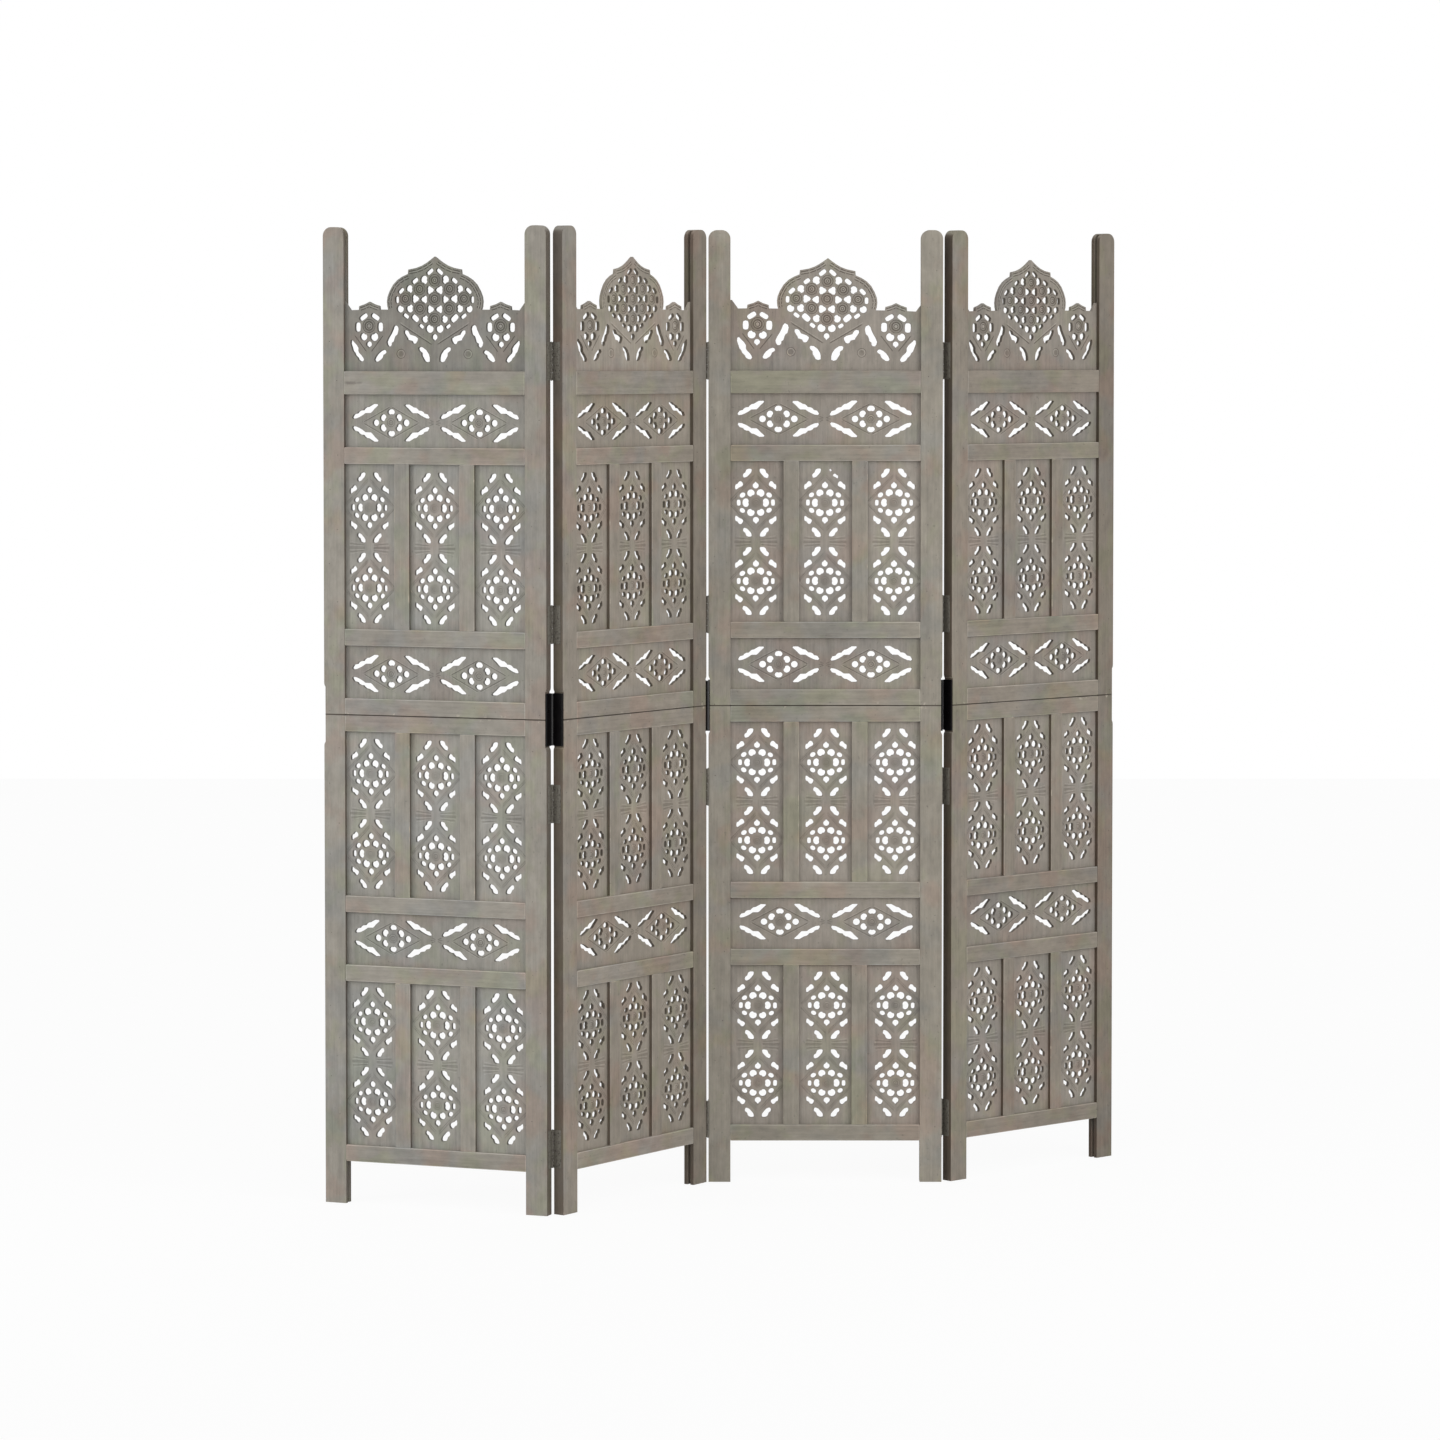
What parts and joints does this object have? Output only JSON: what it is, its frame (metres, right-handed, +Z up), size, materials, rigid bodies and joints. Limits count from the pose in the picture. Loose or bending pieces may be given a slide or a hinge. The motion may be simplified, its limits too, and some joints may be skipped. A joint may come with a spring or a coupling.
{
  "type": "folding screen",
  "caption": "Folding wooden room divider: hinged panels of pierced lattice plates in grooved frames, each panel under a domed crest between two posts.",
  "frame": {"origin": "on the floor, under the middle of the screen's overall box as it stands open", "axes": "+Z up; +X to the right along the third panel, seen from the front; +Y towards the back, away from the viewer"},
  "size_m": [1.3702, 0.6292, 1.65],
  "materials": {
    "frame_wood": "grey-washed, matte",
    "carved_wood": "grey-washed carving, matte",
    "hidden_wood": "bare",
    "plate_steel": "gloss black",
    "hinge_steel": "painted over with the wood's grey wash",
    "pin_steel": "plain"
  },
  "bodies": {
    "panel_1": {"panel_1_band_jalis": "carved_wood", "panel_1_column_jalis": "carved_wood", "panel_1_crest_jali": "carved_wood", "panel_1_joining_plates": "plate_steel", "panel_1_loose_tenons": "hidden_wood", "panel_1_lower_left_stile": "frame_wood", "panel_1_lower_rails": "frame_wood", "panel_1_lower_right_stile": "frame_wood", "panel_1_mullions": "frame_wood", "panel_1_upper_left_stile": "frame_wood", "panel_1_upper_rails": "frame_wood", "panel_1_upper_right_stile": "frame_wood", "hinges_1_2_left_leaves": "hinge_steel", "hinges_1_2_pins": "pin_steel"},
    "panel_2": {"panel_2_band_jalis": "carved_wood", "panel_2_column_jalis": "carved_wood", "panel_2_crest_jali": "carved_wood", "panel_2_joining_plates": "plate_steel", "panel_2_loose_tenons": "hidden_wood", "panel_2_lower_left_stile": "frame_wood", "panel_2_lower_rails": "frame_wood", "panel_2_lower_right_stile": "frame_wood", "panel_2_mullions": "frame_wood", "panel_2_upper_left_stile": "frame_wood", "panel_2_upper_rails": "frame_wood", "panel_2_upper_right_stile": "frame_wood", "hinges_1_2_right_leaves": "hinge_steel", "hinges_2_3_left_leaves": "hinge_steel", "hinges_2_3_pins": "pin_steel"},
    "panel_3": {"panel_3_band_jalis": "carved_wood", "panel_3_column_jalis": "carved_wood", "panel_3_crest_jali": "carved_wood", "panel_3_joining_plates": "plate_steel", "panel_3_loose_tenons": "hidden_wood", "panel_3_lower_left_stile": "frame_wood", "panel_3_lower_rails": "frame_wood", "panel_3_lower_right_stile": "frame_wood", "panel_3_mullions": "frame_wood", "panel_3_upper_left_stile": "frame_wood", "panel_3_upper_rails": "frame_wood", "panel_3_upper_right_stile": "frame_wood", "hinges_2_3_right_leaves": "hinge_steel", "hinges_3_4_left_leaves": "hinge_steel", "hinges_3_4_pins": "pin_steel"},
    "panel_4": {"panel_4_band_jalis": "carved_wood", "panel_4_column_jalis": "carved_wood", "panel_4_crest_jali": "carved_wood", "panel_4_joining_plates": "plate_steel", "panel_4_loose_tenons": "hidden_wood", "panel_4_lower_left_stile": "frame_wood", "panel_4_lower_rails": "frame_wood", "panel_4_lower_right_stile": "frame_wood", "panel_4_mullions": "frame_wood", "panel_4_upper_left_stile": "frame_wood", "panel_4_upper_rails": "frame_wood", "panel_4_upper_right_stile": "frame_wood", "hinges_3_4_right_leaves": "hinge_steel"}
  },
  "joints": [
    {"name": "fold_1_2", "type": "hinge", "parent": "panel_2", "child": "panel_1", "pos_m": [-0.29647, -0.29401, 0.825], "axis": [0, 0, 1], "range_deg": [-106, 74]},
    {"name": "fold_2_3", "type": "hinge", "parent": "panel_2", "child": "panel_3", "pos_m": [-0.03763, 0.0204, 0.825], "axis": [0, 0, 1], "range_deg": [-126, 54]},
    {"name": "fold_3_4", "type": "hinge", "parent": "panel_3", "child": "panel_4", "pos_m": [0.36887, 0.045, 0.825], "axis": [0, 0, 1], "range_deg": [-42, 138]}
  ]
}
